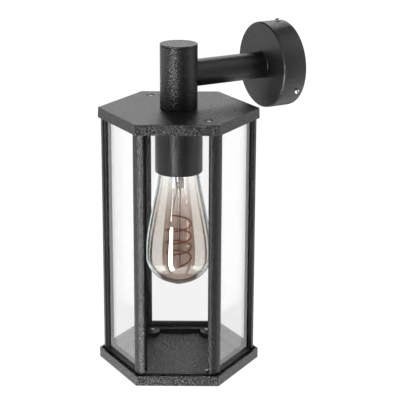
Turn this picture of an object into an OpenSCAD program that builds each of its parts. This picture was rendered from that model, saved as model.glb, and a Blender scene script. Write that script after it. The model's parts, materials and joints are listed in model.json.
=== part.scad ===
// Outdoor wall lantern: a wall cup, a short arm and an upright stem carry a six-sided glass lantern.
// Millimetres. The origin is the centre of the mounting face on the wall, +Z is up,
// and the lantern stands out from the wall towards -Y, with its own axis parallel to Z.

/* [Wall cup] */
// Diameter of the cup that covers the wall bracket
wall_cup_d = 84; // [80:1:95]
// Depth of the cup, from the wall to its front face
wall_cup_depth = 25; // [22:1:28]
// Distance between the two wall screws
wall_screw_spacing = 52; // [48:1:54]

/* [Arm and stem] */
// Distance from the wall to the lantern's axis
arm_reach = 117; // [110:1:160]
// Diameter of the horizontal arm
arm_d = 26; // [22:1:28]
// Diameter of the upright stem
stem_d = 36; // [34:1:38]
// Height of the stem's top above the arm's axis
stem_top = 30; // [26:1:50]

/* [Lantern body] */
// Corner-to-corner width of the lid's top face
lid_w = 154; // [150:1:180]
// Depth of the lid's skirt
skirt_h = 10; // [9:0.5:14]
// Height of the lantern, from the lid's top face to the tray's underside
body_h = 258; // [247:1:320]
// Depth of the bottom tray
tray_h = 10; // [10:0.5:12]
// Thickness of each glass pane
glass_t = 3; // [2.5:0.5:3]

/* [Lamp] */
// Diameter of the cover over the lampholder
holder_d = 46; // [46:1:50]
// Largest diameter of the lamp
bulb_d = 65; // [60:1:70]
// Number of turns of the spiral filament
filament_turns = 3.7; // [2:0.1:4]

/* [Hidden] */
$fn = 72;
eps = 0.01;

// Colours
coat = [0.20, 0.20, 0.21];
steel = [0.74, 0.74, 0.75];
brass_c = [0.80, 0.64, 0.32];
rubber_c = [0.06, 0.06, 0.06];
glass_c = [0.85, 0.92, 0.92, 0.3];

// Screw sizes: shank radius, radius of the threaded hole round it, and radius of a clearance hole
m4_r = 2;
m4_hole_r = 2.05;
m4_clear_r = 2.2;
m3_r = 1.2;
m3_hole_r = 1.25;
m3_clear_r = 1.6;
m3_head_r = 2.8;
m3_head_h = 1.6;
pan_head_r = 2.6;
recess_l = 3.2;
recess_w = 0.8;

// Hollow M10 rods that clamp the arm and the stem
rod_r = 5;
rod_bore_r = 3.9;
rod_hole_r = 5.1;
nut_r = 7.5;
nut_t = 3;
washer_t = 1;

// Wall cup and bracket
gasket_t = 1;
cup_r = wall_cup_d / 2;
cup_wall = 2.7;
cup_in_r = cup_r - cup_wall;
cup_floor = wall_cup_depth - cup_wall;
bracket_r = cup_in_r - 2.8;
bracket_t = 2;
tab_r = cup_in_r - 1.3;
tab_t = 2.5;
tab_w = 12;
tab_h = 12;
cup_screw_out = 7;
cup_screw_angles = [90, 210, 330];
wall_slot_l = 12;
wall_slot_r = 2.5;
cable_y = -20;
cable_hole_r = 6.5;
cable_bore_r = 4;
earth_at = [20, -15];
block_w = 30;
block_y = 12;
block_l = 14;
block_z = bracket_t;
block_h = 12;
pole_pitch = 10;
pole_z = block_z + 6;

// Arm and stem
collar_t = 1.2;
collar_r = arm_d / 2 + 0.7;
arm_start = wall_cup_depth + collar_t;
arm_in_r = arm_d / 2 - 2;
stem_r = stem_d / 2;
stem_in_r = stem_r - 2.5;
stem_seat = arm_reach - stem_in_r + 2.5;
stem_cap_t = 1.6;
stem_cap_gap = 0.4;
stem_floor_t = 4;

// Lantern body: heights
lid_top = -32;
lid_t = 3;
lid_under = lid_top - lid_t;
skirt_bottom = lid_top - skirt_h;
seal_h = 1;
top_plate_top = lid_under - seal_h;
top_plate_t = 2.5;
top_plate_bottom = top_plate_top - top_plate_t;
tray_bottom = lid_top - body_h;
tray_top = tray_bottom + tray_h;
tray_floor = tray_bottom + 3;
bottom_plate_top = tray_floor + 4;
post_bottom = tray_top + 1.2;
post_len = top_plate_bottom - post_bottom;
lip_drop = 2.5;

// Lantern body: distances from the lantern's axis to its flat sides
lid_r = lid_w / 2;
lid_flare = 0.5;
lid_flat = lid_r * cos(30);
leg_out = lid_flat - 1.1;
leg_in = leg_out - 1.8;
seal_t = 1;
pane_out = leg_in - seal_t;
pane_in = pane_out - glass_t;
flange_out = pane_in - 0.2;
flange_in = flange_out - 1.3;
skirt_in = leg_out + 0.2;
tray_r = lid_r + 2.2;
tray_in = leg_out + 1.2;
lip_out = leg_in + 1.1;
ring_in = 54;
lid_gasket_out = leg_in - 0.5;
lid_gasket_in = ring_in + 1;

// Lantern body: along the flat sides, and radii of the corner features
nose_r = leg_out / cos(30) - 1.45;
half_side = leg_out * tan(30);
leg_reach = half_side - 6.4;
flange_reach = half_side - 8.8;
slot_reach = half_side - 4.8;
pane_w = 2 * (half_side - 5);
seal_show = 0.9;
pane_bottom = bottom_plate_top + 0.5;
pane_h = top_plate_bottom - 0.5 - pane_bottom;
post_screw_r = nose_r - 3.2;
post_pad_r = 2.75;
post_hole_l = 11;
lug_at = 57.5;
lug_r = 8;
lid_lug_corners = [0, 3];
tray_lug_corners = [0, 2, 3];
lid_head_r = 3.5;
lid_head_h = 1.6;

// Lampholder
holder_r = holder_d / 2;
holder_wall = 1.6;
holder_bottom = -95;
body_r = holder_r - holder_wall - 1.9;
body_top = -44;
body_bottom = -86;
chamber_top = -50;
chamber_bottom = -55;
socket_top = -57;
socket_r = 14;
shell_out_r = 13.9;
shell_in_r = 13.45;
terminal_x = 7;

// Lamp
contact_top = -62.5;
insulator_top = -64.2;
cap_top = -68;
cap_bottom = -89;
cap_r = 13.1;
thread_pitch = 3.62;
neck_r = 11.6;
bulb_r = bulb_d / 2;
bulb_wide_z = -180;
bulb_tip = -209;
glass_wall = 0.9;
filament_r = 12.2;
filament_top = -143.5;
first_pitch = 14.5;
pitch_loss = 0.77;
tail_turn = 3.3;
tail_drop = 36;
stem_rod_r = 1.4;
stem_rod_end = -193;

// Frame of the wall parts: x runs along the wall, y is up, z leads away from the wall.
module from_wall() rotate([90, 0, 0]) children();

// Frame of the lantern parts: z is up, with the origin on the lantern's axis at the arm's height.
module at_lantern() translate([0, -arm_reach, 0]) children();

// Hexagon with flat sides at distance a from its centre and a corner on +X
module hex(a) circle(r = a / cos(30), $fn = 6);

// Six-sided plate or ring between two heights
module hex_ring(outer, inner, z1, z2) translate([0, 0, z1]) linear_extrude(z2 - z1) difference() {
    hex(outer);
    hex(inner);
}

// Places children at radius r on each of the listed corners
module on_corners(list, r) for (k = list) rotate(60 * k) translate([r, 0, 0]) children();

// Plain cylinder between two heights
module rod(r, z1, z2) translate([0, 0, z1]) cylinder(r = r, h = z2 - z1);

// Ring between two heights
module ring(outer, inner, z1, z2) difference() {
    rod(outer, z1, z2);
    rod(inner, z1 - 1, z2 + 1);
}

// Hexagon nut round an M10 rod, from z1 upwards
module nut(z1) difference() {
    translate([0, 0, z1]) cylinder(r = nut_r, h = nut_t, $fn = 6);
    rod(rod_hole_r, z1 - 1, z1 + nut_t + 1);
}

// Tube of radius r swept along a list of points; side is a direction that the path never follows
function unit(v) = v / norm(v);
function heading(p, i) = unit(p[min(i + 1, len(p) - 1)] - p[max(i - 1, 0)]);
function ring_points(c, d, r, side, n) =
    let (a = unit(cross(d, side)), b = cross(d, a))
    [for (j = [0:n - 1]) c + r * cos(360 * j / n) * a + r * sin(360 * j / n) * b];
module tube(p, r, side, n = 8) {
    last = len(p) - 1;
    skin = [for (i = [0:last]) each ring_points(p[i], heading(p, i), r, side, n)];
    walls = [for (i = [0:last - 1], j = [0:n - 1], half = [0, 1])
        let (a = i * n + j, b = i * n + (j + 1) % n)
        half == 0 ? [a, b, b + n] : [a, b + n, a + n]];
    ends = [[for (j = [0:n - 1]) n - 1 - j], [for (j = [0:n - 1]) last * n + j]];
    polyhedron(points = skin, faces = concat(walls, ends), convexity = 10);
}

// ---- Wall parts ----

module wall_bracket() color(steel) from_wall() difference() {
    union() {
        rod(bracket_r, 0, bracket_t);
        for (a = cup_screw_angles) rotate(a)
            translate([tab_r - tab_t, -tab_w / 2, 0]) cube([tab_t, tab_w, tab_h]);
        for (a = cup_screw_angles) rotate(a)
            translate([tab_r - 8, -tab_w / 2, 0]) cube([8, tab_w, bracket_t]);
    }
    for (a = cup_screw_angles) rotate(a)
        translate([0, 0, cup_screw_out]) rotate([0, 90, 0]) rod(m3_hole_r, 20, tab_r + 5);
    for (s = [-1, 1]) translate([s * wall_screw_spacing / 2, 0, 0]) wall_slot();
    translate([0, cable_y, 0]) rod(cable_hole_r, -1, bracket_t + 1);
    translate([earth_at[0], earth_at[1], 0]) rod(m4_hole_r, -1, bracket_t + 1);
}

// Slot for one wall screw
module wall_slot() {
    end = wall_slot_l / 2 - wall_slot_r;
    for (s = [-1, 1]) translate([s * end, 0, 0]) rod(wall_slot_r, -1, bracket_t + 1);
    translate([-end, -wall_slot_r, -1]) cube([2 * end, 2 * wall_slot_r, bracket_t + 2]);
}

module wall_gasket() color(rubber_c) from_wall() ring(cup_r - 0.2, cup_in_r + 0.2, 0, gasket_t);

// Rubber bush in the bracket's cable hole, with a lip on the room side
module cable_grommet() color(rubber_c) from_wall() translate([0, cable_y, 0]) {
    ring(cable_hole_r, cable_bore_r, 0.4, bracket_t);
    ring(cable_hole_r + 1.6, cable_bore_r, bracket_t, bracket_t + 1.6);
}

module terminal_block() color([0.92, 0.92, 0.90]) from_wall() difference() {
    translate([-block_w / 2, block_y, block_z]) cube([block_w, block_l, block_h]);
    for (i = [-1:1]) translate([i * pole_pitch, 0, 0]) {
        translate([0, block_y - 1, pole_z]) rotate([-90, 0, 0]) rod(1.7, 0, block_l + 2);
        for (s = [3.5, block_l - 3.5]) translate([0, block_y + s, 0])
            rod(2.2, pole_z, block_z + block_h + 1);
    }
    for (s = [-1, 1]) translate([s * pole_pitch / 2 - 0.6, block_y - 1, block_z + 9])
        cube([1.2, block_l + 2, block_h]);
}

module terminal_screws() color(brass_c) from_wall()
    for (i = [-1:1], s = [3.5, block_l - 3.5]) translate([i * pole_pitch, block_y + s, 0]) difference() {
        rod(2, pole_z + 1.2, block_z + block_h - 1.5);
        translate([-2.5, -0.3, block_z + block_h - 2.3]) cube([5, 0.6, 1]);
    }

// Cheese-head screw that holds the earth wire's end against the bracket
module earth_screw() color(brass_c) from_wall() translate([earth_at[0], earth_at[1], 0]) difference() {
    union() {
        rod(m4_r, 0.2, bracket_t + 2);
        rod(4.5, bracket_t, bracket_t + 0.8);
        rod(3.5, bracket_t + 0.8, bracket_t + 3.2);
    }
    translate([-4, -0.5, bracket_t + 2.2]) cube([8, 1, 2]);
}

earth_route = [
    [10, 14, 8], [10, 10, 8], [10, 7, 8], [11, 3, 7.6], [13, -1, 6.6],
    [15, -4.5, 5.2], [16.4, -6.8, 4.3], [17.2, -8.3, 3.9], [18, -9.6, 3.5]
];
module earth_wire() color([0.45, 0.65, 0.15]) from_wall() tube(earth_route, 0.9, [0, 0, 1]);

// Cup with a bevelled front edge, three screw holes in its rim and a hole for the arm's rod
module wall_cup() color(coat) from_wall() difference() {
    rotate_extrude() polygon([
        [cup_in_r, gasket_t], [cup_r, gasket_t], [cup_r, wall_cup_depth - 1.1],
        [cup_r - 1.1, wall_cup_depth], [0, wall_cup_depth], [0, cup_floor], [cup_in_r, cup_floor]
    ]);
    rod(rod_hole_r, cup_floor - 1, wall_cup_depth + 1);
    for (a = cup_screw_angles) rotate(a)
        translate([0, 0, cup_screw_out]) rotate([0, 90, 0]) rod(m3_clear_r, 30, cup_r + 5);
}

// Pan-head screws through the cup's rim into the bracket's tabs
module cup_screws() color(steel) from_wall() for (a = cup_screw_angles) rotate(a)
    translate([0, 0, cup_screw_out]) rotate([0, 90, 0]) difference() {
        union() {
            rod(m3_r, tab_r - tab_t - 1.5, cup_r + eps);
            translate([0, 0, cup_r]) cylinder(r1 = pan_head_r, r2 = pan_head_r - 0.4, h = 2);
            translate([0, 0, cup_r + 2]) cylinder(r1 = pan_head_r - 0.4, r2 = 2, h = 0.6);
        }
        for (t = [0, 90]) rotate(t)
            translate([-recess_l / 2, -recess_w / 2, cup_r + 1.4]) cube([recess_l, recess_w, 2]);
    }

// ---- Arm and stem ----

module arm_collar() color(coat) from_wall()
    ring(collar_r, rod_hole_r, wall_cup_depth, wall_cup_depth + collar_t);

// Arm tube, cut to the round of the stem
module arm_tube() color(coat) from_wall() difference() {
    rod(arm_d / 2, arm_start, arm_reach);
    rod(arm_in_r, arm_start - 1, arm_reach + 1);
    translate([0, 0, arm_reach]) rotate([90, 0, 0]) rod(stem_r, -40, 40);
}

module arm_rod() color(steel) from_wall() ring(rod_r, rod_bore_r, cup_floor - 5.6, stem_seat + nut_t + 1);

module arm_nuts() color(steel) from_wall() {
    nut(cup_floor - washer_t - nut_t);
    nut(stem_seat);
}

module arm_washer() color(steel) from_wall() ring(9, rod_hole_r, cup_floor - washer_t, cup_floor);

// Stem tube with a floor for the nipple and a flat seat inside for the arm's nut
module stem_tube() color(coat) at_lantern() difference() {
    union() {
        ring(stem_r, stem_in_r, lid_top + stem_floor_t, stem_top - stem_cap_t - stem_cap_gap);
        rod(stem_r, lid_top, lid_top + stem_floor_t);
        intersection() {
            rod(stem_r - 1, -12, 12);
            translate([-20, arm_reach - stem_seat, -8]) cube([40, 20, 16]);
        }
    }
    rotate([-90, 0, 0]) rod(rod_hole_r, 5, stem_r + 5);
    rod(rod_hole_r, lid_top - 1, lid_top + stem_floor_t + 1);
}

// Flat cap with a plug inside the stem and a fine shadow gap under its edge
module stem_cap() color(coat) at_lantern() {
    rod(stem_r, stem_top - stem_cap_t, stem_top);
    rod(stem_r - 1, stem_top - stem_cap_t - stem_cap_gap, stem_top - stem_cap_t + eps);
    ring(stem_in_r - 0.05, stem_in_r - 2, stem_top - 8, stem_top - stem_cap_t - stem_cap_gap + eps);
}

module stem_nipple() color(steel) at_lantern()
    ring(rod_r, rod_bore_r, chamber_top, lid_top + stem_floor_t + 6);

module stem_nuts() color(steel) at_lantern() {
    nut(lid_top + stem_floor_t + washer_t);
    nut(lid_under - holder_wall - washer_t - nut_t);
}

module stem_washers() color(steel) at_lantern() {
    ring(9, rod_hole_r, lid_top + stem_floor_t, lid_top + stem_floor_t + washer_t);
    ring(9, rod_hole_r, lid_under - holder_wall - washer_t, lid_under - holder_wall);
}

// Supply wires from the terminal block, through the arm and down the stem to the lampholder.
// s is -1 for the live wire and 1 for the neutral; the block's poles and the lampholder's
// terminals are mirrored or offset by it.
function supply_route(s, pole_x) = [
    [pole_x, 14, 8], [pole_x, 10, 8], [pole_x, 7.5, 8.2], [pole_x * 0.8 + s * 0.3, 5, 9],
    [pole_x * 0.5 + s * 0.7, 2.5, 10.5], [pole_x * 0.2 + s * 1.1, 0.8, 12.8], [s * 1.4, 0, 15.5],
    [s * 1.4, 0, 20], [s * 1.4, 0, 60], [s * 1.4, 0, arm_reach - 13],
    [s * 1.4, -0.4, arm_reach - 9], [s * 1.4, -1.8, arm_reach - 5.5],
    [s * 1.4, -4.5, arm_reach - 2.4], [s * 1.4, -8, arm_reach - 0.6],
    [s * 1.4, -12, arm_reach], [s * 1.4, -22, arm_reach], [s * 1.4, -36, arm_reach],
    [s * 1.4, -48, arm_reach], [s * 2.2, -50.4, arm_reach], [s * 4, -51.6, arm_reach],
    [s * 5, -52.2, arm_reach]
];
module supply_wire(s, pole_x) from_wall() tube(supply_route(s, pole_x), 0.9, [1, 0, 0.2]);
module live_wire() color([0.40, 0.22, 0.10]) supply_wire(-1, -pole_pitch);
module neutral_wire() color([0.15, 0.30, 0.60]) supply_wire(1, 0);

// ---- Lid ----

module lid() color(coat) at_lantern() difference() {
    translate([0, 0, skirt_bottom]) cylinder(r1 = lid_r + lid_flare, r2 = lid_r, h = skirt_h, $fn = 6);
    translate([0, 0, skirt_bottom - 1]) linear_extrude(lid_under - skirt_bottom + 1) hex(skirt_in);
    rod(rod_hole_r, lid_under - 1, lid_top + 1);
    on_corners(lid_lug_corners, lug_at) {
        rod(m4_clear_r, lid_under - 1, lid_top + 1);
        rod(lid_head_r + 0.3, lid_top - lid_head_h, lid_top + 1);
    }
}

module lid_gasket() color(rubber_c) at_lantern()
    hex_ring(lid_gasket_out, lid_gasket_in, top_plate_top, lid_under);

// Socket-head screws sunk in the lid
module lid_screws() color(steel) at_lantern() on_corners(lid_lug_corners, lug_at) difference() {
    union() {
        rod(lid_head_r, lid_top - lid_head_h, lid_top);
        rod(m4_r, top_plate_top - 10, lid_top - lid_head_h + eps);
    }
    translate([0, 0, lid_top - 1.1]) cylinder(r = 1.5, h = 2, $fn = 6);
}

// ---- Lampholder ----

module lampholder_cup() color(coat) at_lantern() difference() {
    rod(holder_r, holder_bottom, lid_under);
    rod(holder_r - holder_wall, holder_bottom - 1, lid_under - holder_wall);
    rod(rod_hole_r, lid_under - 3, lid_under + 1);
}

// Insulating body: threaded neck, wiring chamber and lamp socket
module lampholder_body() color([0.90, 0.88, 0.84]) at_lantern() difference() {
    rod(body_r, body_bottom, body_top);
    rod(rod_r + 0.05, chamber_top - 1, body_top + 1);
    rod(12, chamber_bottom, chamber_top);
    rod(socket_r, body_bottom - 1, socket_top);
    for (s = [-1, 1]) translate([s * terminal_x - 1.5, -1.5, socket_top - 1])
        cube([3, 3, chamber_bottom - socket_top + 2]);
}

module lampholder_shell() color(brass_c) at_lantern() ring(shell_out_r, shell_in_r, body_bottom + 1, -60);

// Sprung tongue that reaches the lamp's centre contact
module centre_contact() color(brass_c) at_lantern() {
    translate([-terminal_x - 1, -1, -61.6]) cube([1, 2, chamber_bottom + 61.6]);
    translate([-terminal_x - 1, -1, -62.2]) cube([terminal_x + 3, 2, 0.6 + eps]);
}

// Terminal blocks; the neutral one has a tab down to the shell
module holder_terminals() color(brass_c) at_lantern() {
    for (s = [-1, 1]) difference() {
        translate([s * terminal_x - 2, -2.5, chamber_bottom]) cube([4, 5, 4]);
        translate([s * terminal_x, 0, -52.2]) rotate([0, 90, 0]) rod(0.95, -3, 3);
    }
    translate([terminal_x + 0.2, -1, -59]) cube([1, 2, chamber_bottom + 59 + eps]);
    translate([terminal_x + 0.2, -1, -60]) cube([shell_out_r - terminal_x - 0.4, 2, 1]);
}

// ---- Cage: frames, posts, panes and tray ----

// Pad of a frame under one side, which keeps the pane from moving outwards
module frame_lips(z1, z2) for (k = [0:5]) rotate(30 + 60 * k)
    translate([leg_in, -leg_reach + 0.5, z1]) cube([lip_out - leg_in, 2 * leg_reach - 1, z2 - z1]);

module top_frame() color(coat) at_lantern() difference() {
    union() {
        hex_ring(lip_out, ring_in, top_plate_bottom, top_plate_top);
        frame_lips(top_plate_bottom - lip_drop, top_plate_bottom + eps);
        on_corners(lid_lug_corners, lug_at) rod(lug_r - 0.5, top_plate_top - 8, top_plate_top);
    }
    on_corners(lid_lug_corners, lug_at) rod(m4_hole_r, top_plate_top - 9, top_plate_top + 1);
    on_corners([0:5], post_screw_r) {
        rod(m3_clear_r, top_plate_bottom - 1, top_plate_top + 1);
        translate([0, 0, top_plate_top - m3_head_h])
            cylinder(r1 = m3_clear_r, r2 = m3_head_r + 0.1, h = m3_head_h + eps);
    }
}

module top_frame_screws() color(steel) at_lantern() on_corners([0:5], post_screw_r) {
    rod(m3_r, top_plate_bottom - post_hole_l + 1, top_plate_top - 1);
    translate([0, 0, top_plate_top - m3_head_h]) cylinder(r1 = m3_r, r2 = m3_head_r, h = m3_head_h - 0.1);
}

module bottom_frame() color(coat) at_lantern() difference() {
    union() {
        hex_ring(lip_out, ring_in, tray_floor, bottom_plate_top);
        frame_lips(bottom_plate_top - eps, tray_top);
        on_corners(tray_lug_corners, lug_at) rod(lug_r, tray_floor, bottom_plate_top);
        on_corners([0:5], post_screw_r) rod(post_pad_r, tray_floor, post_bottom);
    }
    on_corners(tray_lug_corners, lug_at) rod(m4_hole_r, tray_floor - 1, bottom_plate_top + 1);
    on_corners([0:5], post_screw_r) {
        rod(m3_clear_r, tray_floor - 1, post_bottom + 1);
        translate([0, 0, tray_floor - eps])
            cylinder(r1 = m3_head_r + 0.1, r2 = m3_clear_r, h = m3_head_h + eps);
    }
}

module bottom_frame_screws() color(steel) at_lantern() on_corners([0:5], post_screw_r) {
    rod(m3_r, tray_floor + 1, post_bottom + post_hole_l - 1);
    translate([0, 0, tray_floor + 0.1]) cylinder(r1 = m3_head_r, r2 = m3_r, h = m3_head_h - 0.1);
}

// Corner of a hexagonal ring, from the given distance along each side
module corner_of_ring(out, in, reach) intersection() {
    difference() {
        hex(out);
        hex(in);
    }
    for_both_sides() translate([0, -200]) square([200, 200 - reach]);
}

// Cross-section of a post: a blunt nose with two legs outside the panes, a solid core
// between the panes, and two longer flanges behind them
module post_profile() difference() {
    intersection() {
        union() {
            corner_of_ring(leg_out, flange_in, leg_reach);
            corner_of_ring(flange_out, flange_in, flange_reach);
        }
        translate([0, -100]) square([nose_r, 200]);
    }
    for (m = [0, 1]) mirror([0, m]) rotate(30)
        translate([flange_out, -slot_reach]) square([leg_in - flange_out, slot_reach]);
}

// Common area of a child drawn against the side at +30 degrees and its mirror image
module for_both_sides() intersection() {
    rotate(30) children();
    mirror([0, 1]) rotate(30) children();
}

module post(k) color(coat) at_lantern() rotate(60 * k) difference() {
    translate([0, 0, post_bottom]) linear_extrude(post_len) post_profile();
    translate([post_screw_r, 0, 0]) {
        rod(m3_hole_r, post_bottom - 1, post_bottom + post_hole_l);
        rod(m3_hole_r, top_plate_bottom - post_hole_l, top_plate_bottom + 1);
    }
}

module post_1() post(0);
module post_2() post(1);
module post_3() post(2);
module post_4() post(3);
module post_5() post(4);
module post_6() post(5);

module pane(k) color(glass_c) at_lantern() rotate(30 + 60 * k)
    translate([pane_in, -pane_w / 2, pane_bottom]) cube([glass_t, pane_w, pane_h]);

module pane_1() pane(0);
module pane_2() pane(1);
module pane_3() pane(2);
module pane_4() pane(3);
module pane_5() pane(4);
module pane_6() pane(5);

// Thin rubber frames between the panes and the metal in front of them
module pane_seals() color(rubber_c) at_lantern() for (k = [0:5]) rotate(30 + 60 * k) difference() {
    translate([pane_out, -pane_w / 2, pane_bottom]) cube([seal_t, pane_w, pane_h]);
    translate([pane_out - 1, -leg_reach + seal_show, tray_top + seal_show])
        cube([seal_t + 2, 2 * (leg_reach - seal_show), skirt_bottom - tray_top - 2 * seal_show]);
}

module tray() color(coat) at_lantern() difference() {
    translate([0, 0, tray_bottom]) cylinder(r = tray_r, h = tray_h, $fn = 6);
    translate([0, 0, tray_floor]) linear_extrude(tray_h) hex(tray_in);
    on_corners(tray_lug_corners, lug_at) {
        rod(m4_clear_r, tray_bottom - 1, tray_floor + 1);
        translate([0, 0, tray_bottom - eps]) cylinder(r1 = 4.1, r2 = m4_clear_r, h = 2);
    }
}

// Countersunk screws from under the tray into the frame's lugs
module tray_screws() color(steel) at_lantern() on_corners(tray_lug_corners, lug_at) difference() {
    union() {
        translate([0, 0, tray_bottom + 0.1]) cylinder(r1 = 3.9, r2 = m4_r, h = 1.9);
        rod(m4_r, tray_bottom + 1, bottom_plate_top + 1.5);
    }
    translate([0, 0, tray_bottom - 1]) cylinder(r = 1.5, h = 2.3, $fn = 6);
}

// ---- Lamp ----

module bulb_contact() color(steel) at_lantern()
    translate([0, 0, insulator_top]) cylinder(r1 = 4.6, r2 = 3.6, h = contact_top - insulator_top);

module bulb_insulator() color([0.08, 0.08, 0.09]) at_lantern()
    translate([0, 0, cap_top]) cylinder(r1 = 11.4, r2 = 5.6, h = insulator_top - cap_top);

// Screw cap, with its thread drawn as round ridges at the real pitch
module bulb_cap() color(brass_c) at_lantern() rotate_extrude() difference() {
    union() {
        translate([0, cap_bottom]) square([cap_r - 0.6, cap_top - cap_bottom]);
        for (i = [0:3]) translate([cap_r - 0.9, cap_top - 2.6 - i * thread_pitch]) circle(r = 0.9);
    }
    translate([0, cap_bottom - 1]) square([neck_r + 0.2, cap_top - cap_bottom + 0.3]);
}

// Outline of the lamp's glass, inset by d: a neck, a long curve to the widest point, a round end
function curve(p, t) = pow(1 - t, 3) * p[0] + 3 * pow(1 - t, 2) * t * p[1]
    + 3 * (1 - t) * pow(t, 2) * p[2] + pow(t, 3) * p[3];
function neck_curve(t) = curve([[neck_r, -89.2], [16.5, -90], [18.6, -91], [19.3, -95]], t);
function flank_curve(t) =
    curve([[19.3, -95], [21.6, -119], [bulb_r, -154], [bulb_r, bulb_wide_z]], t);
function end_curve(t, d) =
    [(bulb_r - d) * cos(90 * t), bulb_wide_z + (bulb_tip + d - bulb_wide_z) * sin(90 * t)];
function inset(p, d) = [p[0] - d, p[1]];
function glass_outline(d) = concat(
    [[0, -84 + d], [neck_r - d, -84 + d], [neck_r - d, -89.2]],
    [for (i = [1:5]) inset(neck_curve(i / 5), d)],
    [for (i = [1:12]) inset(flank_curve(i / 12), d)],
    [for (i = [1:12]) end_curve(i / 12, d)]
);

module bulb_glass() color([0.75, 0.66, 0.55, 0.35]) at_lantern() {
    difference() {
        rotate_extrude() polygon(glass_outline(0));
        rotate_extrude() polygon(glass_outline(glass_wall));
    }
    rod(4, bulb_tip - 2, bulb_tip + 0.5);
}

// Glass mount inside the lamp: a flare sealed in the neck, a flat press and a thin rod
module bulb_stem() color(glass_c) at_lantern() {
    rotate_extrude() polygon([
        [0, -84.5], [10.5, -84.5], [10.5, -86], [6.5, -92], [4.6, -99], [4, -105], [0, -105]
    ]);
    translate([-5, -1.6, -113]) cube([10, 3.2, 9]);
    rod(stem_rod_r, stem_rod_end, -112);
}

// Flexible light-emitting strip wound in a spiral round the glass rod. Its turns close up
// downwards, and its last part turn hangs lower.
filament_steps = 18;
filament_count = floor(filament_turns * filament_steps);
function spiral_drop(t) =
    first_pitch * t - pitch_loss * t * t + tail_drop * pow(max(0, t - tail_turn), 2);
function spiral(i) = let (t = i / filament_steps, a = 195 - 360 * t)
    [filament_r * cos(a), filament_r * sin(a), filament_top - spiral_drop(t)];
module filament() color([0.80, 0.45, 0.15]) at_lantern()
    tube([for (i = [0:filament_count]) spiral(i)], 0.75, [0, 0, 1], 6);

// Wires that carry the spiral's two ends, each stopping just inside the strip
function lead_end(i) = let (p = spiral(i), k = 1 - 1.15 / filament_r) [k * p[0], k * p[1], p[2]];
filament_end = lead_end(filament_count);
top_lead = [[-3.5, 0, -113], [-4.2, -0.3, -118], [-6.5, -1.2, -128], [-9.2, -2.4, -137], lead_end(0)];
bottom_lead = [
    filament_end, [0.6 * filament_end[0], 0.6 * filament_end[1], filament_end[2] - 1],
    [2.6, 0.8, stem_rod_end - 1], [2.1, 0.4, stem_rod_end + 4], [2.4, 0, -150], [3, 0, -113]
];
module filament_supports() color(steel) at_lantern() {
    tube(top_lead, 0.35, [0, 1, 0], 6);
    tube(bottom_lead, 0.35, [0, 1, 0.1], 6);
}

wall_bracket();
wall_gasket();
cable_grommet();
terminal_block();
terminal_screws();
earth_screw();
earth_wire();
wall_cup();
cup_screws();
arm_collar();
arm_tube();
arm_rod();
arm_nuts();
arm_washer();
stem_tube();
stem_cap();
stem_nipple();
stem_nuts();
stem_washers();
live_wire();
neutral_wire();
lid();
lid_gasket();
lid_screws();
lampholder_cup();
lampholder_body();
lampholder_shell();
centre_contact();
holder_terminals();
top_frame();
top_frame_screws();
bottom_frame();
bottom_frame_screws();
post_1();
post_2();
post_3();
post_4();
post_5();
post_6();
pane_1();
pane_2();
pane_3();
pane_4();
pane_5();
pane_6();
pane_seals();
tray();
tray_screws();
bulb_contact();
bulb_insulator();
bulb_cap();
bulb_glass();
bulb_stem();
filament();
filament_supports();
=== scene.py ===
"""Outdoor wall lantern: the looks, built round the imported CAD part. Metres, in the CAD's own frame."""

import json
import math

import bmesh
import bpy
from mathutils import Matrix, Vector


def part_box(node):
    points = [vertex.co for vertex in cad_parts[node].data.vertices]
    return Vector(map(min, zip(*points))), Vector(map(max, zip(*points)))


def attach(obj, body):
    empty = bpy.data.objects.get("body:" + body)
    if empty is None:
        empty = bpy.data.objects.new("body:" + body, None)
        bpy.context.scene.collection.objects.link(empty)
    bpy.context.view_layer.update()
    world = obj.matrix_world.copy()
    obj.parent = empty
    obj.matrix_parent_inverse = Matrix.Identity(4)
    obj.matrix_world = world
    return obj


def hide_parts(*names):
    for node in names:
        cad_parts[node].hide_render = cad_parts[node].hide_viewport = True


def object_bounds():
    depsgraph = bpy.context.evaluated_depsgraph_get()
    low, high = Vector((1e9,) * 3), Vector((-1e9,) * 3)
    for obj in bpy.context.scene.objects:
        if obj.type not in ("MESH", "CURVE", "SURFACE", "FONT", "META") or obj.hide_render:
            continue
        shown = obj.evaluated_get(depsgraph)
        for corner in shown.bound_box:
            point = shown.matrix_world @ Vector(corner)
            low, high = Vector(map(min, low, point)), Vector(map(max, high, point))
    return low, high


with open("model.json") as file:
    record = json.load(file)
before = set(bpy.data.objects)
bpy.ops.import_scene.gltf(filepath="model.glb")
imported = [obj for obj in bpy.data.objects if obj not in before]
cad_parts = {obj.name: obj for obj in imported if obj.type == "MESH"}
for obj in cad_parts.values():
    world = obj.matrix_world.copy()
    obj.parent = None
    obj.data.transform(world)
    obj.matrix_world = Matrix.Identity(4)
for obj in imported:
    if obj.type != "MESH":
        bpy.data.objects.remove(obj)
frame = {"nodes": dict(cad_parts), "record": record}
CAD_LOW, CAD_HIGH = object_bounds()

MM = 0.001
SLOT_OF = {part["node"]: part["material_slot"] for part in frame["record"]["subparts"]}
# the wall bracket gets a darker copy of the zinc steel: painted shade
LOOK_OF = {"wall_bracket": "shaded_zinc_steel"}       # nodes whose look differs from the rest of their slot
BODY_OF = {n: body for body, names in frame["record"]["behaviour"]["bodies"].items() for n in names}


# ---- Sizes read from the frame ----

def size_of(node):
    low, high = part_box(node)
    return high - low


def middle_of(node):
    low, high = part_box(node)
    return (low + high) / 2


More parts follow.
